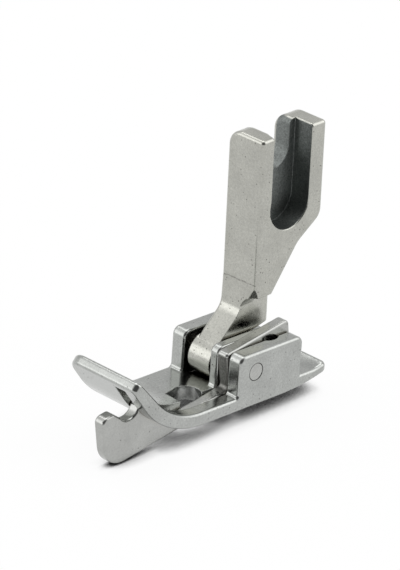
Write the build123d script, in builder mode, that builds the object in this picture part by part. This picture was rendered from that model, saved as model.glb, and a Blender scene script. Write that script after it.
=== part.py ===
from build123d import *
import os
from math import cos, sin, tan, radians, sqrt

# High-shank hinged presser foot with a spring-loaded guide blade, in millimetres.
# Origin: on the presser bar's axis, level with the clamping screw's nominal height.
# +Z up along the bar, -Y towards the operator and the toe, +X towards the open side of the pocket.

# Presser bar pocket and screw slot in the shank
bar_d = 7.14
bar_side_clear = 0.09
bar_seat_clear = 0.03
pocket_depth = 3.25
pocket_below_screw = 10.3
screw_slot_w = 5.2
top_above_screw = 3.9

# Shank body
shank_t = 6.5
front_wall = 2.1
rear_wall = 2.72
pin_drop = 27.7
pin_ahead = 2.75
leg_bend_h = 10.4
leg_bend_in = 0.2
tongue_top_h = 5.9
tongue_t = 3.95
hollow_r = 2.55
hollow_h = 8.55
hollow_clip = 0.1
knuckle_r = 2.9
knuckle_fwd = 0.15
knuckle_low = 0.5
knuckle_top_deg = 28.0
heel_y = 8.3
heel_h = 3.1
heel_root_y = 3.4
heel_root_h = 1.95
heel_root_in = 0.75
back_low_y = 6.05
back_low_h = 8.3
back_mid_y = 10.7
back_mid_h = 14.7
back_top_h = 17.6
back_r = 2.2
back_mid_r = 4.0
foot_bend_r = 2.4
flat_above_bend = 0.3
flat_back = 0.5
slot_edge_r = 0.9
shank_edge = 0.55
shoulder_r = 2.2
pocket_edge = 0.2
tongue_rear_r = 0.8

# Sole: hinge pin centre above the underside, and widths across from the outer face inwards
pin_h = 5.15
pin_r = 1.25
sole_rest_deg = 1.78
outer_ear_t = 2.35
guide_slot_w = 1.95
inner_ear_t = 1.5
knuckle_slot_w = 4.95
left_ear_t = 2.4
knuckle_gap = 0.15

# Sole: side view
plate_t = 2.0
block_front = 3.1
block_back = 9.0
block_top = 2.8
block_round = 1.15
block_foot_r = 0.5
toe_arc_y = 9.6
toe_arc_r = 13.6
toe_in_deg = 47.5
toe_out_deg = 53.0
toe_in_reach = 22.1
toe_out_reach = 23.05
toe_left_r = 2.6
toe_right_r = 0.8
tail_reach = 14.3
tail_lift = 0.75
tail_curl = 3.0
tail_under_y = 5.5
tail_under_r = 33.0
tail_corner_r = 1.0
slit_end = 22.35
slit_end_h = 2.9
sole_edge = 0.5
ear_edge = 0.35

# Sole: knuckle recess, slots and holes
recess_front = 2.37
recess_clear = 0.33
heel_step_y = 4.0
heel_step_h = 1.1
hub_clear = 0.3
guide_seat_h = 0.35
guide_floor_front = 1.8
spring_y = 4.9
spring_hole_r = 1.75
spring_hole_floor = 1.2
needle_y = 7.1
needle_r = 1.95
needle_in = 1.46
needle_wide = 3.35
needle_tip_wide = 2.92
needle_tip_reach = 9.75

# Guide lever: side clearance, drop of the blade at rest, and its own side view
guide_side_clear = 0.075
guide_drop_deg = 9.5
hub_r = 3.0
lever_top = 3.05
lever_front = 3.0
lever_back = 9.05
rear_arm_t = 2.3
arm_top = 2.3
arm_bottom = 4.0
arm_root_y = 6.0
hub_foot_y = 1.6
hub_foot_h = 2.65
arm_rise_y = 12.6
arm_mid_y = 15.8
arm_mid_h = 0.0
horn_peak_y = 18.6
horn_peak_h = 3.05
notch_y = 20.9
notch_h = 3.35
notch_rear_h = 2.85
notch_front_h = 2.65
notch_r = 1.6
hook_y = 23.7
hook_top = 3.85
blade_front = 25.85
blade_chin_r = 3.2
lever_back_r = 0.75
lever_front_r = 0.5
hook_front_r = 1.0
hook_back_r = 0.6
lever_side_r = 0.35

# Running fits and the spring
pin_run_clear = 0.04
pin_recess = 0.03
pin_mouth = 0.06
spring_outer_r = 1.5
spring_wire = 0.35
spring_gap = 0.05

# How far a cut runs past a face
past = 1.0

# How near a point lies to a face that it is picked by
near = 0.01

# Positions that follow from the sizes
pocket_half = bar_d / 2 + bar_side_clear
pocket_wall_x = -bar_d / 2 - bar_seat_clear
shank_face_x = pocket_wall_x + pocket_depth
shank_back_x = shank_face_x - shank_t
shank_front_y = -pocket_half - front_wall
shank_rear_y = pocket_half + rear_wall
tongue_x = shank_back_x + tongue_t
pin_y = shank_front_y - pin_ahead
pin_z = -pin_drop
knuckle_slot_x = tongue_x + knuckle_gap
knuckle_slot_x0 = knuckle_slot_x - knuckle_slot_w
sole_left_x = knuckle_slot_x0 - left_ear_t
guide_slot_x0 = knuckle_slot_x + inner_ear_t
guide_slot_x1 = guide_slot_x0 + guide_slot_w
sole_right_x = guide_slot_x1 + outer_ear_t
sole_w = sole_right_x - sole_left_x
plate_top = plate_t - pin_h
lever_x0 = guide_slot_x0 + guide_side_clear
lever_t = guide_slot_w - 2 * guide_side_clear
spring_x = (guide_slot_x0 + guide_slot_x1) / 2

tilt = radians(sole_rest_deg)
drop = radians(guide_drop_deg - sole_rest_deg)


def pin_side(x):
    """Side plane through the pin's axis at x, square to the shank: local x is +Y, local y is +Z."""
    return Plane(origin=(x, pin_y, pin_z), x_dir=(0, 1, 0), z_dir=(1, 0, 0))


def sole_side(x):
    """Side plane of the sole as it rests, toe a little up."""
    return Plane(origin=(x, pin_y, pin_z), x_dir=(0, cos(tilt), -sin(tilt)), z_dir=(1, 0, 0))


def sole_level(h):
    """Plane parallel to the sole's underside, h above the pin's axis: local x is +X."""
    base = Plane(origin=(0, pin_y, pin_z), x_dir=(1, 0, 0), z_dir=(0, sin(tilt), cos(tilt)))
    return base.offset(h)


def lever_side(x):
    """Side plane of the guide lever as it rests, blade down."""
    return Plane(origin=(x, pin_y, pin_z), x_dir=(0, cos(drop), sin(drop)), z_dir=(1, 0, 0))


# Shank: leg with the bar pocket, tongue and knuckle
with BuildPart() as shank:
    leg_front = shank_front_y - pin_y
    leg_rear = shank_rear_y - pin_y
    leg_top = pin_drop + top_above_screw
    hollow_low = hollow_h - hollow_r
    hollow_foot_y = leg_front - leg_bend_in * (leg_bend_h - hollow_low) / (leg_bend_h - tongue_top_h)
    back_slope = (back_mid_y - back_low_y) / (back_mid_h - back_low_h)
    back_foot_y = back_low_y - (back_low_h - hollow_low) * back_slope
    tongue_foot_y = leg_front - leg_bend_in
    heel_top_h = back_low_h + (heel_y - back_low_y) / back_slope
    # Outer half of the leg, over the guide lever, ending in a hollow along Y
    with BuildSketch(pin_side(tongue_x)) as leg_outline:
        with BuildLine():
            Polyline(
                (leg_front, leg_top),
                (leg_front, leg_bend_h),
                (hollow_foot_y, hollow_low),
                (back_foot_y, hollow_low),
                (back_mid_y, back_mid_h),
                (leg_rear, back_top_h),
                (leg_rear, leg_top),
                close=True,
            )
        make_face()
        fillet(leg_outline.vertices().sort_by_distance(Vector(leg_rear, back_top_h))[0], back_r)
        fillet(leg_outline.vertices().sort_by_distance(Vector(back_mid_y, back_mid_h))[0], back_mid_r)
    extrude(amount=shank_face_x - tongue_x)
    open_edges = shank.edges().filter_by(lambda e: e.bounding_box().min.X > shank_face_x - near)
    fillet(open_edges.filter_by(lambda e: abs(e.tangent_at(0).Y) < 1 - near), shank_edge)
    with BuildSketch(Plane(origin=(0, shank_front_y - past, pin_z), x_dir=(1, 0, 0), z_dir=(0, 1, 0))):
        with Locations((tongue_x + hollow_r - hollow_clip, -hollow_low)):
            Circle(hollow_r)
    extrude(amount=shank_rear_y - shank_front_y + 2 * past, mode=Mode.SUBTRACT)

    # Sloping flat that narrows the front face down to the tongue
    flat_a = Vector(shank_face_x, pin_y + leg_front, pin_z + leg_bend_h + flat_above_bend)
    flat_b = Vector(tongue_x, pin_y + tongue_foot_y, pin_z + tongue_top_h)
    flat_c = Vector(shank_face_x, pin_y + leg_front + flat_back, pin_z + hollow_h)
    flat_n = (flat_b - flat_a).cross(flat_c - flat_a)
    split(bisect_by=Plane(origin=flat_a, z_dir=flat_n), keep=Keep.TOP if flat_n.Y > 0 else Keep.BOTTOM)

    # Inner half of the leg, with the narrow tongue between the ears and its heel behind
    knuckle_y = -knuckle_fwd
    knuckle_z = -knuckle_low
    meet_y = knuckle_y - knuckle_r * sin(radians(knuckle_top_deg))
    meet_z = knuckle_z + knuckle_r * cos(radians(knuckle_top_deg))
    with BuildSketch(pin_side(shank_back_x)) as tongue_outline:
        with BuildLine():
            Polyline(
                (leg_front, leg_top),
                (leg_front, leg_bend_h),
                (tongue_foot_y, tongue_top_h),
                (meet_y, meet_z),
                (knuckle_y, knuckle_z),
                (heel_root_y - heel_root_in, -knuckle_low),
                (heel_root_y, heel_root_h),
                (heel_y, heel_h),
                (heel_y, heel_top_h),
                (back_mid_y, back_mid_h),
                (leg_rear, back_top_h),
                (leg_rear, leg_top),
                close=True,
            )
        make_face()
        fillet(tongue_outline.vertices().sort_by_distance(Vector(leg_rear, back_top_h))[0], back_r)
        fillet(tongue_outline.vertices().sort_by_distance(Vector(back_mid_y, back_mid_h))[0], back_mid_r)
        tongue_foot = Vector(tongue_foot_y, tongue_top_h)
        fillet(tongue_outline.vertices().sort_by_distance(tongue_foot)[0], foot_bend_r)
        with Locations((knuckle_y, knuckle_z)):
            Circle(knuckle_r)
    extrude(amount=tongue_t)

    # Pocket for the presser bar: round at the front, square at the back, round-bottomed
    arc_mid = 0.5 * pocket_half
    with BuildSketch(Plane.XY.offset(top_above_screw + past)):
        with BuildLine():
            wall_front_y = -sqrt(pocket_half ** 2 - (pocket_wall_x - shank_face_x) ** 2)
            Line((shank_face_x + past, -pocket_half), (shank_face_x, -pocket_half))
            ThreePointArc(
                (shank_face_x, -pocket_half),
                (shank_face_x - arc_mid, -sqrt(pocket_half ** 2 - arc_mid ** 2)),
                (pocket_wall_x, wall_front_y),
            )
            Polyline(
                (pocket_wall_x, wall_front_y),
                (pocket_wall_x, pocket_half),
                (shank_face_x + past, pocket_half),
                (shank_face_x + past, -pocket_half),
            )
        make_face()
    extrude(amount=-(top_above_screw + past + pocket_below_screw - pocket_half), mode=Mode.SUBTRACT)
    with BuildSketch(Plane.YZ.offset(pocket_wall_x)):
        with Locations((0, pocket_half - pocket_below_screw)):
            Circle(pocket_half)
    extrude(amount=pocket_depth + past, mode=Mode.SUBTRACT)

    # Screw slot through the back wall, open at the top
    with BuildSketch(Plane.YZ.offset(shank_back_x - past)):
        Circle(screw_slot_w / 2)
        with Locations((0, (top_above_screw + past) / 2)):
            Rectangle(screw_slot_w, top_above_screw + past)
    extrude(amount=shank_t + past, mode=Mode.SUBTRACT)

    # Running bore for the hinge pin
    with BuildSketch(pin_side(shank_back_x - past)):
        Circle(pin_r + pin_run_clear)
    extrude(amount=tongue_t + 2 * past, mode=Mode.SUBTRACT)

    # Round shoulders on the closed side, seen from the front
    with BuildSketch(Plane.XZ.offset(-shank_front_y + past)):
        with BuildLine():
            shoulder_mid = shoulder_r * (1 - sqrt(0.5))
            Polyline(
                (shank_back_x, top_above_screw - shoulder_r),
                (shank_back_x - past, top_above_screw - shoulder_r),
                (shank_back_x - past, top_above_screw + past),
                (shank_back_x + shoulder_r, top_above_screw + past),
                (shank_back_x + shoulder_r, top_above_screw),
            )
            ThreePointArc(
                (shank_back_x + shoulder_r, top_above_screw),
                (shank_back_x + shoulder_mid, top_above_screw - shoulder_mid),
                (shank_back_x, top_above_screw - shoulder_r),
            )
        make_face()
    extrude(amount=-(shank_rear_y - shank_front_y + 2 * past), mode=Mode.SUBTRACT)

    # Soft edges: slot mouth on the closed side, outer corners with the top, pocket mouth, and the tongue
    closed_edges = shank.edges().filter_by(lambda e: e.bounding_box().min.X < shank_back_x + near)
    mouth = closed_edges.filter_by(lambda e: abs(e.center().Y) < screw_slot_w / 2 + near)
    fillet(mouth.filter_by(lambda e: e.center().Z > -screw_slot_w), slot_edge_r)
    front_edges = shank.edges().filter_by(lambda e: e.bounding_box().max.Y < shank_front_y + near)
    rear_edges = shank.edges().filter_by(lambda e: e.bounding_box().min.Y > shank_rear_y - near)
    corners = (front_edges + rear_edges).filter_by(lambda e: e.center().Z > -pin_drop / 2)
    corners = corners.filter_by(lambda e: e.bounding_box().max.X < shank_face_x - near)
    open_tops = shank.edges().filter_by(lambda e: e.bounding_box().min.X > shank_face_x - shank_edge - near)
    open_tops = open_tops.filter_by(lambda e: e.bounding_box().min.Z > top_above_screw - near)
    corners = corners.filter_by(lambda e: e.center().X < shank_back_x + near or e.center().Z > 0)
    fillet(corners + open_tops, shank_edge)
    open_edges = shank.edges().filter_by(lambda e: e.bounding_box().min.X > shank_face_x - near)
    fillet(open_edges.sort_by_distance((shank_face_x, 0, -pocket_below_screw))[0], pocket_edge)
    upright = shank.edges().filter_by(Axis.Z)
    fillet(upright.sort_by_distance((tongue_x, pin_y + heel_y, pin_z + tongue_top_h))[0], tongue_rear_r)

# Sole: toe, plate, block with its ears, and tail
with BuildPart() as sole:
    toe_centre_h = toe_arc_r - pin_h
    toe_in_r = toe_arc_r - plate_t
    turn_in = radians(toe_in_deg)
    turn_out = radians(toe_out_deg)
    arc_in = (-toe_arc_y - toe_in_r * sin(turn_in), toe_centre_h - toe_in_r * cos(turn_in))
    arc_out = (-toe_arc_y - toe_arc_r * sin(turn_out), toe_centre_h - toe_arc_r * cos(turn_out))
    tip_in = (-toe_in_reach, arc_in[1] + (toe_in_reach + arc_in[0]) * tan(turn_in))
    tip_out = (-toe_out_reach, arc_out[1] + (toe_out_reach + arc_out[0]) * tan(turn_out))
    mid_in = turn_in / 2
    mid_out = turn_out / 2
    tail_under_h = -pin_h + tail_under_r - sqrt(tail_under_r ** 2 - (tail_reach - tail_under_y) ** 2)
    tail_mid_y = (tail_reach + tail_under_y) / 2
    tail_mid_h = -pin_h + tail_under_r - sqrt(tail_under_r ** 2 - (tail_mid_y - tail_under_y) ** 2)
    with BuildSketch(sole_side(sole_left_x)) as sole_outline:
        with BuildLine():
            Line((-toe_arc_y, plate_top), (tail_reach - tail_curl, plate_top))
            tail_tip = (tail_reach, plate_top + tail_lift)
            TangentArc((tail_reach - tail_curl, plate_top), tail_tip, tangent=(1, 0))
            Line(tail_tip, (tail_reach, tail_under_h))
            ThreePointArc((tail_reach, tail_under_h), (tail_mid_y, tail_mid_h), (tail_under_y, -pin_h))
            Line((tail_under_y, -pin_h), (-toe_arc_y, -pin_h))
            ThreePointArc(
                (-toe_arc_y, -pin_h),
                (-toe_arc_y - toe_arc_r * sin(mid_out), toe_centre_h - toe_arc_r * cos(mid_out)),
                arc_out,
            )
            Polyline(arc_out, tip_out, tip_in, arc_in)
            ThreePointArc(
                arc_in,
                (-toe_arc_y - toe_in_r * sin(mid_in), toe_centre_h - toe_in_r * cos(mid_in)),
                (-toe_arc_y, plate_top),
            )
        make_face()
        with BuildLine():
            Polyline(
                (-block_front, plate_top - plate_t / 2),
                (-block_front, block_top),
                (block_back, block_top),
                (block_back, plate_top - plate_t / 2),
                close=True,
            )
        make_face()
        for corner_y in (-block_front, block_back):
            fillet(sole_outline.vertices().sort_by_distance(Vector(corner_y, block_top))[0], block_round)
        fillet(sole_outline.vertices().sort_by_distance(Vector(-block_front, plate_top))[0], block_foot_r)
    extrude(amount=sole_w)

    # Rounded corners in plan: the toe's are cut along its end face, the tail's straight down
    tip_low = sole_side(0).from_local_coords(Vector(*tip_out))
    tip_high = sole_side(0).from_local_coords(Vector(*tip_in))
    toe_end = Plane(origin=tip_low, x_dir=(1, 0, 0), z_dir=tip_high - tip_low)
    tail_low = sole_side(0).from_local_coords(Vector(tail_reach, -pin_h))
    tail_end = Plane(origin=tail_low, x_dir=(-1, 0, 0), z_dir=sole_level(0).z_dir)
    toe_corners = ((sole_left_x, 1, toe_left_r), (sole_right_x, -1, toe_right_r))
    tail_corners = ((-sole_left_x, -1, tail_corner_r), (-sole_right_x, 1, tail_corner_r))
    for end_plane, plan_corners in ((toe_end, toe_corners), (tail_end, tail_corners)):
        with BuildSketch(end_plane):
            for corner_x, inward, corner_r in plan_corners:
                with BuildLine():
                    Line((corner_x, corner_r), (corner_x - inward, corner_r))
                    Line((corner_x - inward, corner_r), (corner_x - inward, -past))
                    Line((corner_x - inward, -past), (corner_x + inward * corner_r, -past))
                    Line((corner_x + inward * corner_r, -past), (corner_x + inward * corner_r, 0))
                    RadiusArc((corner_x + inward * corner_r, 0), (corner_x, corner_r), inward * corner_r)
                make_face()
        extrude(amount=2 * plate_t, both=True, mode=Mode.SUBTRACT)

    # Soft edges round both sides, the toe's end and the tail's end
    sides = sole.faces().filter_by(Axis.X).sort_by(Axis.X)
    fillet(sides[0].edges() + sides[-1].edges(), sole_edge)

    # Knuckle slot: recess under the knuckle, and a step that stops the heel
    with BuildSketch(sole_side(knuckle_slot_x0)):
        with BuildLine():
            recess_floor = -(knuckle_r + knuckle_low) - recess_clear
            Polyline(
                (-block_front - past, plate_top),
                (-recess_front, plate_top),
                (-recess_front, recess_floor),
                (heel_step_y, recess_floor),
                (heel_step_y, heel_step_h),
                (block_back + past, heel_step_h),
                (block_back + past, block_top + past),
                (-block_front - past, block_top + past),
                close=True,
            )
        make_face()
    extrude(amount=knuckle_slot_w, mode=Mode.SUBTRACT)

    # Guide slot: through the toe and plate in front, over a seat behind the hub
    with BuildSketch(sole_side(guide_slot_x0)):
        with BuildLine():
            slit_dir = (sin(turn_out), cos(turn_out))
            slit_run = plate_t + past
            Polyline(
                (-slit_end - slit_dir[0], slit_end_h - slit_dir[1]),
                (-slit_end + slit_run * slit_dir[0], slit_end_h + slit_run * slit_dir[1]),
                (-block_front - past, block_top + past),
                (block_back + past, block_top + past),
                (block_back + past, guide_seat_h),
                (hub_r + hub_clear, guide_seat_h),
                (hub_r + hub_clear, -hub_r - hub_clear),
                (-guide_floor_front, -hub_r - hub_clear),
                (-guide_floor_front, -pin_h - past),
                (-toe_in_reach, -pin_h - past),
                close=True,
            )
        make_face()
    extrude(amount=guide_slot_w, mode=Mode.SUBTRACT)

    # Blind hole for the spring under the rear arm
    with BuildSketch(sole_level(-pin_h + spring_hole_floor)):
        with Locations((spring_x, spring_y)):
            Circle(spring_hole_r)
    extrude(amount=pin_h + block_top + past - spring_hole_floor, mode=Mode.SUBTRACT)

    # Needle hole, open to the guide slot
    with BuildSketch(sole_level(-pin_h - past)):
        with Locations((guide_slot_x0 - needle_in, -needle_y)):
            Circle(needle_r)
        with BuildLine():
            Polyline(
                (guide_slot_x0 - needle_wide, -needle_y),
                (guide_slot_x0 - needle_tip_wide, -needle_tip_reach),
                (spring_x, -needle_tip_reach),
                (spring_x, -needle_y),
                close=True,
            )
        make_face()
    extrude(amount=plate_t + 2 * past, mode=Mode.SUBTRACT)

    # Soft edges of the ears along their slots
    slot_walls = (knuckle_slot_x0, knuckle_slot_x, guide_slot_x0, guide_slot_x1)
    rounds = sole.edges().filter_by(GeomType.CIRCLE).filter_by(lambda e: abs(e.radius - block_round) < near)
    for wall_x in slot_walls:
        fillet(rounds.filter_by(lambda e: abs(e.center().X - wall_x) < near), ear_edge)

    # Bore for the pressed-in pin
    with BuildSketch(sole_side(sole_left_x - past)):
        Circle(pin_r)
    extrude(amount=sole_w + 2 * past, mode=Mode.SUBTRACT)
    mouths = sole.edges().filter_by(GeomType.CIRCLE).filter_by(lambda e: abs(e.radius - pin_r) < near)
    chamfer(mouths.sort_by(Axis.X)[0], pin_mouth)
    chamfer(mouths.sort_by(Axis.X)[-1], pin_mouth)

# Guide lever: hooked blade, arm, hub and rear arm
with BuildPart() as guide_lever:
    rear_arm_low = lever_top - rear_arm_t
    with BuildSketch(lever_side(lever_x0)) as lever_outline:
        with BuildLine():
            Polyline(
                (-lever_front, lever_top),
                (-lever_front, -arm_top),
                (-arm_rise_y, -arm_top),
            )
            Spline(
                (-arm_rise_y, -arm_top),
                (-arm_mid_y, arm_mid_h),
                (-horn_peak_y, horn_peak_h),
                tangents=((-1, 0), (-1, 0.3)),
            )
            Line((-horn_peak_y, horn_peak_h), (-notch_y + notch_r, notch_rear_h))
            ThreePointArc(
                (-notch_y + notch_r, notch_rear_h),
                (-notch_y, notch_h - notch_r),
                (-notch_y - notch_r, notch_front_h),
            )
            Polyline(
                (-notch_y - notch_r, notch_front_h),
                (-hook_y, hook_top),
                (-blade_front, hook_top),
                (-blade_front, -arm_bottom),
                (-arm_root_y, -arm_bottom),
                (-hub_foot_y, -hub_foot_h),
                (0, -hub_foot_h),
                (0, rear_arm_low),
                (lever_back, rear_arm_low),
                (lever_back, lever_top),
                (-lever_front, lever_top),
            )
        make_face()
        fillet(lever_outline.vertices().sort_by_distance(Vector(-blade_front, -arm_bottom))[0], blade_chin_r)
        fillet(lever_outline.vertices().sort_by_distance(Vector(-blade_front, hook_top))[0], hook_front_r)
        fillet(lever_outline.vertices().sort_by_distance(Vector(-hook_y, hook_top))[0], hook_back_r)
        fillet(lever_outline.vertices().sort_by_distance(Vector(lever_back, lever_top))[0], lever_back_r)
        fillet(lever_outline.vertices().sort_by_distance(Vector(-lever_front, lever_top))[0], lever_front_r)
        fillet(lever_outline.vertices().sort_by_distance(Vector(-lever_front, -arm_top))[0], lever_front_r)
        Circle(hub_r)
    extrude(amount=lever_t)
    for side in guide_lever.faces().filter_by(Axis.X):
        fillet(side.outer_wire().edges(), lever_side_r)

    # Running bore for the hinge pin
    with BuildSketch(lever_side(lever_x0 - past)):
        Circle(pin_r + pin_run_clear)
    extrude(amount=lever_t + 2 * past, mode=Mode.SUBTRACT)

# Hinge pin, just below both faces of the sole
with BuildPart() as hinge_pin:
    with BuildSketch(pin_side(sole_left_x + pin_recess)):
        Circle(pin_r)
    extrude(amount=sole_w - 2 * pin_recess)
    chamfer(hinge_pin.edges().filter_by(GeomType.CIRCLE), pin_mouth)

# Guide spring, as the closed tube its coils fill, standing in its hole under the rear arm
with BuildPart() as guide_spring:
    spring_foot = -pin_h + spring_hole_floor
    spring_lean = tan(tilt + drop)
    spring_head = rear_arm_low / cos(tilt + drop) + (spring_y - spring_outer_r) * spring_lean - spring_gap
    with BuildSketch(sole_level(spring_foot)):
        with Locations((spring_x, spring_y)):
            Circle(spring_outer_r)
            Circle(spring_outer_r - spring_wire, mode=Mode.SUBTRACT)
    extrude(amount=spring_head - spring_foot)

shank.part.label = "shank"
sole.part.label = "sole"
guide_lever.part.label = "guide_lever"
hinge_pin.part.label = "hinge_pin"
guide_spring.part.label = "guide_spring"

os.makedirs("parts", exist_ok=True)
export_step(shank.part, "parts/shank.step")
export_step(sole.part, "parts/sole.step")
export_step(guide_lever.part, "parts/guide_lever.step")
export_step(hinge_pin.part, "parts/hinge_pin.step")
export_step(guide_spring.part, "parts/guide_spring.step")
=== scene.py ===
import math

import bmesh
import bpy
from mathutils import Matrix, Vector


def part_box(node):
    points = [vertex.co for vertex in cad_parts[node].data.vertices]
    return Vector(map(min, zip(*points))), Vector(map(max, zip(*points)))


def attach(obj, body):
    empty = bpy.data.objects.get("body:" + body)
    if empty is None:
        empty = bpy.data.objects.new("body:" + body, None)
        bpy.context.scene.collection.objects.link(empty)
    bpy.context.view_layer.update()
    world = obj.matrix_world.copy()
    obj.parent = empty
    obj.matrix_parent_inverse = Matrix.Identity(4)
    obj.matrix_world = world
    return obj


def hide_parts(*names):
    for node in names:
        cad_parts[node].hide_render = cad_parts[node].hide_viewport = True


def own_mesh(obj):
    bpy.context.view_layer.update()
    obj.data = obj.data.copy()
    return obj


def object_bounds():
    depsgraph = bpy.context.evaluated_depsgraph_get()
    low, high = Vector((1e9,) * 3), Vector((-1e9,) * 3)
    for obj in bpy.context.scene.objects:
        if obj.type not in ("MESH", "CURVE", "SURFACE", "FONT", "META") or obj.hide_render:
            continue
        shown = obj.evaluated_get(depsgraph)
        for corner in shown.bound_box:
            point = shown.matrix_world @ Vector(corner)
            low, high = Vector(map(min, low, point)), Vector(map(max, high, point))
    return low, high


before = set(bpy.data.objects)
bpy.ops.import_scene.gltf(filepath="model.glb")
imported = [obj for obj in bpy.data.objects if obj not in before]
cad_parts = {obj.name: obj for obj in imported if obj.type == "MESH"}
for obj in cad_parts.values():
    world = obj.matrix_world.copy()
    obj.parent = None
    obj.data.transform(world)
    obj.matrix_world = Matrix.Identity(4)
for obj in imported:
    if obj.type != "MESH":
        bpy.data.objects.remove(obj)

# Sewing machine presser foot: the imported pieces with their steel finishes, and the small coil
# spring under the guide lever. Everything is in metres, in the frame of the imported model.

MM = 0.001
cad_box = [list(corner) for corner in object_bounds()]

# Hinge pin, and the hairline round its end in the side of the block
HINGE_Y = -8.51 * MM
HINGE_Z = -27.7 * MM
PIN_R = 1.25 * MM
SEAM_DARK = 0.04 * MM
SEAM_CLEAR = 0.09 * MM

# Grinding line across the front face of the leg, just above its bend
LEG_FRONT_Y = -5.6 * MM
LINE_Z = -17.05 * MM
LINE_WAVE = 0.5 * MM
LINE_DARK = 0.03 * MM
LINE_CLEAR = 0.13 * MM

# Pocket and screw slot of the shank, whose walls keep the rough skin of the casting, darkened by painted
# shade
RECESS_LOW = Vector((-6.0, -3.70, -10.45)) * MM
RECESS_HIGH = Vector((-0.55, 3.70, 3.70)) * MM

# Front of the guide lever's hub, between the ears, which keeps that skin and painted shade too
HUB_LOW = Vector((-1.3, -12.4, -30.6)) * MM
HUB_HIGH = Vector((0.75, -10.9, -25.6)) * MM

# How softly that skin and its painted shade end, and how dull the skin is
SKIN_SHADE_MARGIN = 0.12 * MM
SKIN_ROUGHNESS = 0.48

# Sizes of the patterns on the steel. The real grain, sand and wire streaks are a few hundredths
# of a millimetre, and are drawn coarser so that they show.
SMUDGE_MM = 3.2
GRAIN_MM = 0.30
SAND_MM = 0.22
PIT_SPACING_MM = 0.62
PIT_PATCH_MM = 1.1
LINE_WAVE_MM = 1.5
LINE_SPECK_MM = 0.35
WIRE_STREAK_MM = 0.4

# Marks on the steel: pits, edges softened by the polish, and a brown shade painted into the corners
PIT_DEPTH = 0.02 * MM
EDGE_ROUNDING = 0.16 * MM
CORNER_SHADE_REACH = 1.2 * MM
CORNER_SHADE_BROWN = "#8E8271"
PIT_BLACK = "#3A3630"
SEAM_BLACK = "#2C2A28"

# How far the smudges take the roughness down and up
GLOSSIER = 0.05
DULLER = 0.06

# Coil spring: its hole leans with the sole, which isn't quite level at rest
SOLE_LEAN = math.radians(1.78)
WIRE_R = 0.175 * MM
WIRE_SIDES = 10
COIL_TURNS = 6.5
STEPS_PER_TURN = 28

# Table just below the tip of the blade, which hangs lowest, and how far the shadow painted on it reaches
FLOOR_DROP = 0.2 * MM
FLOOR_HALF = 1.6
PAINTED_SHADOW_REACH = 4 * MM

# Camera: fitted to the edges of the sole, the block and the leg in the photograph
CAMERA_AT = Vector((353.4, -383.81, 232.09)) * MM
CAMERA_RIGHT = Vector((0.70543903, 0.70753629, 0.04181113))
CAMERA_UP = Vector((-0.33418062, 0.28000815, 0.89995486))
CAMERA_BACK = Vector((0.62504327, -0.64883575, 0.43397359))
CAMERA_FOCAL_PX = 4297
PHOTO_HEIGHT_PX = 570
SENSOR_MM = 36
CAMERA_NEAR = 0.01
CAMERA_FAR = 20

# Studio panels: direction of the centre, cosine at the rim, and strength. A panel fades in from
# its rim and is at its strength from the cosine PANEL_FULL inwards.
FRONT_LOW_PANEL = ((-0.625, -0.749, 0.218), 0.88, 1.1)
FRONT_HIGH_PANEL = ((-0.625, -0.434, 0.649), 0.88, 0.35)
BACK_RIGHT_PANEL = ((0.50, 0.65, 0.57), 0.84, 1.3)
PANEL_FULL = 0.985

# Softbox over the object
LAMP_AT = Vector((-0.20, 0.10, 0.60))
LAMP_AIM = Vector((0, 0, -0.02))
LAMP_SIZE = 0.50
LAMP_WATTS = 1.2


def linear(hex_code):
    """An sRGB hex colour as linear RGBA."""
    channels = [int(hex_code[i:i + 2], 16) / 255 for i in (1, 3, 5)]
    return [c / 12.92 if c <= 0.04045 else ((c + 0.055) / 1.055) ** 2.4 for c in channels] + [1.0]


def add_node(tree, kind, settings=None, inputs=None, stops=None):
    """Adds a node, sets its properties, and fills its inputs with values or links.

    A colour ramp also gets its stops, each a place and a grey or a hex colour.
    """
    node = tree.nodes.new(kind)
    for name, value in (settings or {}).items():
        setattr(node, name, value)
    for name, value in (inputs or {}).items():
        if isinstance(value, bpy.types.NodeSocket):
            tree.links.new(value, node.inputs[name])
        else:
            node.inputs[name].default_value = value
    if stops:
        elements = node.color_ramp.elements
        while len(elements) < len(stops):
            elements.new(0.5)
        for element, (place, shade) in zip(elements, stops):
            element.position = place
            element.color = linear(shade) if isinstance(shade, str) else (shade, shade, shade, 1)
    return node


def new_material(name):
    """An empty material with its output node."""
    material = bpy.data.materials.new(name)
    material.use_nodes = True
    material.node_tree.nodes.clear()
    return material, material.node_tree, add_node(material.node_tree, "ShaderNodeOutputMaterial")


def per_metre(size_mm):
    """Texture scale for a feature of that size."""
    return 1 / (size_mm * MM)


def inside_box(tree, place, low, high, margin):
    """1 inside a box given by two corners, falling to 0 over a soft margin outside it."""
    middle = (low + high) / 2
    off = add_node(tree, "ShaderNodeVectorMath", {"operation": "SUBTRACT"}, {0: place, 1: middle})
    size = add_node(tree, "ShaderNodeVectorMath", {"operation": "ABSOLUTE"}, {0: off.outputs["Vector"]})
    past = add_node(tree, "ShaderNodeVectorMath", {"operation": "SUBTRACT"}, {
        0: size.outputs["Vector"], 1: (high - low) / 2})
    parts = add_node(tree, "ShaderNodeSeparateXYZ", inputs={"Vector": past.outputs["Vector"]})
    wide = add_node(tree, "ShaderNodeMath", {"operation": "MAXIMUM"}, {
        0: parts.outputs["X"], 1: parts.outputs["Y"]})
    most = add_node(tree, "ShaderNodeMath", {"operation": "MAXIMUM"}, {
        0: wide.outputs["Value"], 1: parts.outputs["Z"]})
    return add_node(tree, "ShaderNodeMapRange", inputs={
        "Value": most.outputs["Value"], "From Min": 0.0, "From Max": margin,
        "To Min": 1.0, "To Max": 0.0}).outputs["Result"]


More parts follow.
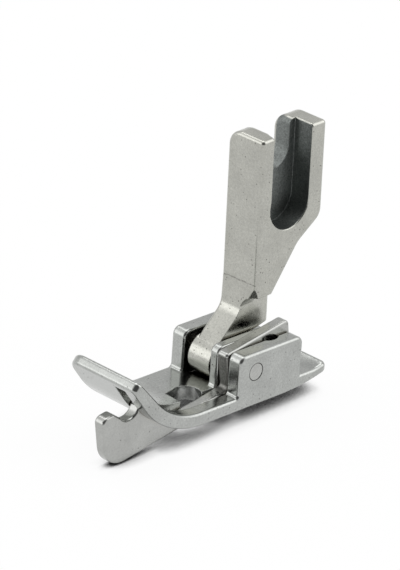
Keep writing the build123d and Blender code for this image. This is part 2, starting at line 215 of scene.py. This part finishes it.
def grinding_line(tree, place):
    """Share of dark in a broken, slightly wavy row of specks across the leg: at most 0.6, 0 off it."""
    wave = add_node(tree, "ShaderNodeTexNoise", inputs={
        "Vector": place, "Scale": per_metre(LINE_WAVE_MM), "Detail": 1.0})
    up = add_node(tree, "ShaderNodeSeparateXYZ", inputs={"Vector": place})
    level = add_node(tree, "ShaderNodeMath", {"operation": "MULTIPLY_ADD"}, {
        0: wave.outputs["Fac"], 1: LINE_WAVE, 2: up.outputs["Z"]})
    off = add_node(tree, "ShaderNodeMath", {"operation": "SUBTRACT"}, {
        0: level.outputs["Value"], 1: LINE_Z})
    far = add_node(tree, "ShaderNodeMath", {"operation": "ABSOLUTE"}, {0: off.outputs["Value"]})
    row = add_node(tree, "ShaderNodeMapRange", inputs={
        "Value": far.outputs["Value"], "From Min": LINE_DARK, "From Max": LINE_CLEAR,
        "To Min": 1.0, "To Max": 0.0})
    specks = add_node(tree, "ShaderNodeTexNoise", inputs={
        "Vector": place, "Scale": per_metre(LINE_SPECK_MM), "Detail": 2.0, "Roughness": 0.7})
    broken = add_node(tree, "ShaderNodeValToRGB", inputs={"Fac": specks.outputs["Fac"]},
                      stops=[(0.40, 0.15), (0.62, 0.60)])
    ahead = add_node(tree, "ShaderNodeMath", {"operation": "LESS_THAN"}, {
        0: up.outputs["Y"], 1: LEG_FRONT_Y})
    both = add_node(tree, "ShaderNodeMath", {"operation": "MULTIPLY"}, {
        0: row.outputs["Result"], 1: broken.outputs["Color"]})
    return add_node(tree, "ShaderNodeMath", {"operation": "MULTIPLY"}, {
        0: both.outputs["Value"], 1: ahead.outputs["Value"]}).outputs["Value"]


def pin_seam(tree, place):
    """Share of dark in the hairline round the end of the hinge pin: at most 0.8, 0 off it."""
    flat = add_node(tree, "ShaderNodeVectorMath", {"operation": "MULTIPLY"}, {0: place, 1: (0, 1, 1)})
    away = add_node(tree, "ShaderNodeVectorMath", {"operation": "DISTANCE"}, {
        0: flat.outputs["Vector"], 1: (0, HINGE_Y, HINGE_Z)})
    off = add_node(tree, "ShaderNodeMath", {"operation": "SUBTRACT"}, {0: away.outputs["Value"], 1: PIN_R})
    gap = add_node(tree, "ShaderNodeMath", {"operation": "ABSOLUTE"}, {0: off.outputs["Value"]})
    return add_node(tree, "ShaderNodeMapRange", inputs={
        "Value": gap.outputs["Value"], "From Min": SEAM_DARK, "From Max": SEAM_CLEAR,
        "To Min": 0.8, "To Max": 0.0}).outputs["Result"]


# Investment-cast steel, tumbled and satin polished: a soft grey metal with a fine mottled grain, tiny
# dark pits left by the casting, faint smudges in its gloss and a brown shade painted into its corners.
# Where a box is given, the walls inside it keep the dull, sandy skin of the casting, darkened by painted
# shade.
def cast_steel(name, colour, roughness, pit_share, grain_depth, grain_low=0.82, skin_shade_box=None,
               skin_shade_colour=None, seam=False, ground=False):
    """One steel finish.

    pit_share is how much of it has pits, grain_depth the height of its grain, and grain_low the
    shade of its darkest grain. skin_shade_box is the two corners of the box with the skin of the casting
    and its painted recess shade, and skin_shade_colour that skin's colour, darkened as painted shade. seam
    adds the hairline round the pin, and ground the grinding line across the leg.
    """
    material, tree, output = new_material(name)
    place = add_node(tree, "ShaderNodeTexCoord").outputs["Object"]
    smudge = add_node(tree, "ShaderNodeTexNoise", inputs={
        "Vector": place, "Scale": per_metre(SMUDGE_MM), "Detail": 4.0, "Roughness": 0.6}).outputs["Fac"]
    grain = add_node(tree, "ShaderNodeTexNoise", inputs={
        "Vector": place, "Scale": per_metre(GRAIN_MM), "Detail": 3.0, "Roughness": 0.7}).outputs["Fac"]

    # Pits: a dot in the middle of each cell, kept in some patches only
    cells = add_node(tree, "ShaderNodeTexVoronoi", {"feature": "F1"}, {
        "Vector": place, "Scale": per_metre(PIT_SPACING_MM), "Randomness": 1.0})
    patches = add_node(tree, "ShaderNodeTexNoise", inputs={
        "Vector": place, "Scale": per_metre(PIT_PATCH_MM), "Detail": 2.0, "Roughness": 0.7})
    dots = add_node(tree, "ShaderNodeValToRGB", inputs={"Fac": cells.outputs["Distance"]},
                    stops=[(0.09, 1.0), (0.20, 0.0)])
    kept = add_node(tree, "ShaderNodeValToRGB", inputs={"Fac": patches.outputs["Fac"]},
                    stops=[(1 - pit_share, 0.0), (1.08 - pit_share, 0.85)])
    pits = add_node(tree, "ShaderNodeMath", {"operation": "MULTIPLY"}, {
        0: dots.outputs["Color"], 1: kept.outputs["Color"]}).outputs["Value"]

    # Colour: mottled by the grain and the smudges, then marked, and darkened in the corners by painted
    # shade
    mottle = add_node(tree, "ShaderNodeValToRGB", inputs={"Fac": grain},
                      stops=[(0.28, grain_low), (0.72, 1.06)])
    cloud = add_node(tree, "ShaderNodeValToRGB", inputs={"Fac": smudge},
                     stops=[(0.30, 0.90), (0.70, 1.06)])
    mixed = add_node(tree, "ShaderNodeMix", {"data_type": "RGBA", "blend_type": "MULTIPLY"}, {
        "Factor": 1.0, "A": mottle.outputs["Color"], "B": cloud.outputs["Color"]})
    tone = add_node(tree, "ShaderNodeMix", {"data_type": "RGBA", "blend_type": "MULTIPLY"}, {
        "Factor": 1.0, "A": linear(colour), "B": mixed.outputs["Result"]}).outputs["Result"]
    # Painted shade: where ambient occlusion finds a corner, the colour is darkened towards brown
    corner = add_node(tree, "ShaderNodeAmbientOcclusion", {"samples": 4}, {"Distance": CORNER_SHADE_REACH})
    painted_corner_shade = add_node(tree, "ShaderNodeValToRGB", inputs={"Fac": corner.outputs["AO"]},
                     stops=[(0.25, 0.25), (0.75, 0.0)])
    marks_and_shade = [(painted_corner_shade.outputs["Color"], CORNER_SHADE_BROWN), (pits, PIT_BLACK)]
    if ground:
        marks_and_shade.append((grinding_line(tree, place), PIT_BLACK))
    if seam:
        marks_and_shade.append((pin_seam(tree, place), SEAM_BLACK))
    for share, mark_colour in marks_and_shade:
        tone = add_node(tree, "ShaderNodeMix", {"data_type": "RGBA"}, {
            "Factor": share, "A": tone, "B": linear(mark_colour)}).outputs["Result"]
    gloss = add_node(tree, "ShaderNodeMapRange", inputs={
        "Value": smudge, "From Min": 0.3, "From Max": 0.7,
        "To Min": roughness - GLOSSIER, "To Max": roughness + DULLER}).outputs["Result"]

    # Skin of the casting: sandy and dull, with its colour darkened as painted shade in the recess
    if skin_shade_box:
        skin_and_shade = inside_box(tree, place, skin_shade_box[0], skin_shade_box[1], SKIN_SHADE_MARGIN)
        sand = add_node(tree, "ShaderNodeTexNoise", inputs={
            "Vector": place, "Scale": per_metre(SAND_MM), "Detail": 2.0, "Roughness": 0.7})
        skin = add_node(tree, "ShaderNodeValToRGB", inputs={"Fac": sand.outputs["Fac"]},
                        stops=[(0.30, 0.62), (0.70, 1.25)])
        skin_shade_tone = add_node(tree, "ShaderNodeMix", {"data_type": "RGBA", "blend_type": "MULTIPLY"}, {
            "Factor": 1.0, "A": linear(skin_shade_colour), "B": skin.outputs["Color"]})
        tone = add_node(tree, "ShaderNodeMix", {"data_type": "RGBA"}, {
            "Factor": skin_and_shade, "A": tone, "B": skin_shade_tone.outputs["Result"]}).outputs["Result"]
        gloss = add_node(tree, "ShaderNodeMix", inputs={
            "Factor": skin_and_shade, "A": gloss, "B": SKIN_ROUGHNESS}).outputs["Result"]

    bump = add_node(tree, "ShaderNodeBump", inputs={
        "Height": grain, "Strength": 1.0, "Distance": grain_depth})
    dent = add_node(tree, "ShaderNodeBump", {"invert": True}, {
        "Height": pits, "Strength": 1.0, "Distance": PIT_DEPTH, "Normal": bump.outputs["Normal"]})
    rounded = add_node(tree, "ShaderNodeBevel", {"samples": 6}, {
        "Radius": EDGE_ROUNDING, "Normal": dent.outputs["Normal"]})
    shader = add_node(tree, "ShaderNodeBsdfPrincipled", inputs={
        "Base Color": tone, "Metallic": 1.0, "Roughness": gloss, "Normal": rounded.outputs["Normal"]})
    tree.links.new(shader.outputs["BSDF"], output.inputs["Surface"])
    return material


# Drawn spring wire, dark from its hardening, with faint streaks in its grey and a soft sheen.
def spring_wire():
    """The finish of the coil spring."""
    material, tree, output = new_material("drawn spring wire")
    place = add_node(tree, "ShaderNodeTexCoord").outputs["Object"]
    streak = add_node(tree, "ShaderNodeTexNoise", inputs={
        "Vector": place, "Scale": per_metre(WIRE_STREAK_MM), "Detail": 2.0})
    tone = add_node(tree, "ShaderNodeValToRGB", inputs={"Fac": streak.outputs["Fac"]},
                    stops=[(0.3, "#5A5A5C"), (0.7, "#7A7A7C")])
    shader = add_node(tree, "ShaderNodeBsdfPrincipled", inputs={
        "Base Color": tone.outputs["Color"], "Metallic": 1.0, "Roughness": 0.3})
    tree.links.new(shader.outputs["BSDF"], output.inputs["Surface"])
    return material


# White laminate board, pressed smooth and dull, with a contact shadow painted into it close to the
# foot from ambient occlusion; away from the foot it glows plain white.
def white_table_with_painted_shadow():
    """The finish of the table: it glows white where nothing stands close over it, and where something does,
    a dark shadow is painted into its colour.
    """
    material, tree, output = new_material("white table with painted shadow")
    path = add_node(tree, "ShaderNodeLightPath")
    seen = add_node(tree, "ShaderNodeMath", {"operation": "ADD", "use_clamp": True}, {
        0: path.outputs["Is Camera Ray"], 1: path.outputs["Is Glossy Ray"]})
    seen = add_node(tree, "ShaderNodeMath", {"operation": "ADD", "use_clamp": True}, {
        0: seen.outputs["Value"], 1: path.outputs["Is Transmission Ray"]})
    # Painted shadow: ambient occlusion darkens the table's colour and takes away its glow close under the
    # foot
    near = add_node(tree, "ShaderNodeAmbientOcclusion", {"samples": 8}, {"Distance": PAINTED_SHADOW_REACH})
    clear = add_node(tree, "ShaderNodeValToRGB", inputs={"Fac": near.outputs["AO"]},
                     stops=[(0.40, 0.0), (0.70, 0.95)])
    shade = add_node(tree, "ShaderNodeValToRGB", inputs={"Fac": near.outputs["AO"]},
                     stops=[(0.35, 0.04), (0.65, 0.94)])
    share = add_node(tree, "ShaderNodeMath", {"operation": "MULTIPLY"}, {
        0: seen.outputs["Value"], 1: clear.outputs["Color"]})
    paint = add_node(tree, "ShaderNodeBsdfDiffuse", inputs={"Color": shade.outputs["Color"]})
    glow = add_node(tree, "ShaderNodeEmission", inputs={"Color": (1, 1, 1, 1), "Strength": 1.0})
    both = add_node(tree, "ShaderNodeMixShader", inputs={
        "Fac": share.outputs["Value"], 1: paint.outputs["BSDF"], 2: glow.outputs["Emission"]})
    tree.links.new(both.outputs["Shader"], output.inputs["Surface"])
    return material


def make_guide_spring(material):
    """The coil spring in its blind hole: a round wire spun upwards about the hole's axis."""
    low, high = (Vector(corner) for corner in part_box("guide_spring"))
    middle = (low + high) / 2
    coil_r = (high.x - low.x) / 2 - WIRE_R
    # Room at both ends for the wire's own radius, and half a radius each for the coil's lean
    rise = high.z - low.z - 3 * WIRE_R
    steps = int(COIL_TURNS * STEPS_PER_TURN)
    bm = bmesh.new()
    upright = Matrix.Rotation(math.radians(90), 4, "X")
    at_coil = Matrix.Translation((coil_r, 0, 0))
    bmesh.ops.create_circle(bm, segments=WIRE_SIDES, radius=WIRE_R, matrix=at_coil @ upright)
    bmesh.ops.spin(bm, geom=bm.verts[:] + bm.edges[:], cent=(0, 0, 0), axis=(0, 0, 1),
                   dvec=(0, 0, rise / steps), angle=math.tau * COIL_TURNS, steps=steps)
    bmesh.ops.holes_fill(bm, edges=bm.edges, sides=WIRE_SIDES)
    bmesh.ops.recalc_face_normals(bm, faces=bm.faces)
    lean = Matrix.Rotation(-SOLE_LEAN, 4, "X")
    seat = Matrix.Translation((middle.x, middle.y, middle.z))
    bmesh.ops.transform(bm, matrix=seat @ lean @ Matrix.Translation((0, 0, -rise / 2)), verts=bm.verts)
    for face in bm.faces:
        face.smooth = True
    mesh = bpy.data.meshes.new("guide_spring_coil")
    bm.to_mesh(mesh)
    bm.free()
    coil = bpy.data.objects.new("guide_spring_coil", mesh)
    bpy.context.scene.collection.objects.link(coil)
    mesh.materials.append(material)
    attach(coil, "sole")
    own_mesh(coil)
    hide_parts("guide_spring")


def make_floor(level, material):
    """White table, wide enough to close the view behind the object."""
    bm = bmesh.new()
    bmesh.ops.create_grid(
        bm, x_segments=1, y_segments=1, size=FLOOR_HALF, matrix=Matrix.Translation((0, 0, level)))
    mesh = bpy.data.meshes.new("white_table")
    bm.to_mesh(mesh)
    bm.free()
    floor = bpy.data.objects.new("white_table", mesh)
    bpy.context.scene.collection.objects.link(floor)
    mesh.materials.append(material)


def lobe(tree, way, centre, stops):
    """Grey by the angle from a direction: the places of the stops are cosines."""
    toward = add_node(tree, "ShaderNodeVectorMath", {"operation": "DOT_PRODUCT"}, {
        0: way, 1: centre.normalized()})
    grey = add_node(tree, "ShaderNodeValToRGB", inputs={"Fac": toward.outputs["Value"]}, stops=stops)
    return grey.outputs["Color"]


def make_world():
    """White studio: a sky greyer halfway up, three panels, and a dark place round the camera."""
    world = bpy.data.worlds.new("white studio")
    world.use_nodes = True
    tree = world.node_tree
    tree.nodes.clear()
    way = add_node(tree, "ShaderNodeTexCoord").outputs["Generated"]
    height = add_node(tree, "ShaderNodeSeparateXYZ", inputs={"Vector": way})
    sky = add_node(tree, "ShaderNodeValToRGB", inputs={"Fac": height.outputs["Z"]},
                   stops=[(0.0, 1.0), (0.25, 0.84), (0.55, 0.74), (0.9, 0.95)])
    lit = sky.outputs["Color"]
    for centre, rim, strength in (FRONT_LOW_PANEL, FRONT_HIGH_PANEL, BACK_RIGHT_PANEL):
        panel = lobe(tree, way, Vector(centre), [(rim, 0.0), (PANEL_FULL, strength)])
        lit = add_node(tree, "ShaderNodeMix", {"data_type": "RGBA", "blend_type": "ADD"}, {
            "Factor": 1.0, "A": lit, "B": panel}).outputs["Result"]
    dark = lobe(tree, way, CAMERA_BACK, [(0.50, 1.0), (0.80, 0.15)])
    both = add_node(tree, "ShaderNodeMix", {"data_type": "RGBA", "blend_type": "MULTIPLY"}, {
        "Factor": 1.0, "A": lit, "B": dark})
    back = add_node(tree, "ShaderNodeBackground", inputs={"Color": both.outputs["Result"], "Strength": 1.0})
    output = add_node(tree, "ShaderNodeOutputWorld")
    tree.links.new(back.outputs["Background"], output.inputs["Surface"])
    bpy.context.scene.world = world


def make_softbox():
    """A soft square lamp over the object, facing it."""
    lamp = bpy.data.lights.new("overhead softbox", "AREA")
    lamp.size = LAMP_SIZE
    lamp.energy = LAMP_WATTS
    holder = bpy.data.objects.new("overhead softbox", lamp)
    holder.location = LAMP_AT
    holder.rotation_euler = (LAMP_AIM - LAMP_AT).to_track_quat("-Z", "Y").to_euler()
    bpy.context.scene.collection.objects.link(holder)


def make_camera():
    """The photograph's camera, from its fitted place and focal length."""
    lens = bpy.data.cameras.new("photo_camera")
    lens.sensor_width = SENSOR_MM
    lens.lens = CAMERA_FOCAL_PX / PHOTO_HEIGHT_PX * SENSOR_MM
    lens.clip_start = CAMERA_NEAR
    lens.clip_end = CAMERA_FAR
    camera = bpy.data.objects.new("photo_camera", lens)
    turned = Matrix((CAMERA_RIGHT, CAMERA_UP, CAMERA_BACK)).transposed().to_4x4()
    camera.matrix_world = Matrix.Translation(CAMERA_AT) @ turned
    bpy.context.scene.collection.objects.link(camera)
    bpy.context.scene.camera = camera


# Shank and sole are castings with a satin polish. The lever is a casting whose faces are ground,
# which makes them evener. The pin is turned from rod and ground flush, with the finest grain.
finishes = {
    "shank": cast_steel(
        "satin cast steel of the shank", "#B6B6AF", roughness=0.20, pit_share=0.50,
        grain_depth=0.010 * MM, skin_shade_box=(RECESS_LOW, RECESS_HIGH), skin_shade_colour="#7E8280", ground=True),
    "sole": cast_steel(
        "satin cast steel of the sole", "#B0B2AF", roughness=0.18, pit_share=0.50,
        grain_depth=0.009 * MM, seam=True),
    "guide_lever": cast_steel(
        "ground steel of the guide lever", "#ACADAA", roughness=0.20, pit_share=0.44,
        grain_depth=0.008 * MM, grain_low=0.92, skin_shade_box=(HUB_LOW, HUB_HIGH), skin_shade_colour="#90908C"),
    "hinge_pin": cast_steel(
        "turned steel of the pin", "#B2B3B0", roughness=0.20, pit_share=0.36,
        grain_depth=0.006 * MM, grain_low=0.90, seam=True),
}
for node, finish in finishes.items():
    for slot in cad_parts[node].material_slots:
        slot.material = finish
make_guide_spring(spring_wire())

make_floor(cad_box[0][2] - FLOOR_DROP, white_table_with_painted_shadow())
make_world()
make_softbox()
make_camera()
bpy.context.scene.view_settings.view_transform = "Standard"
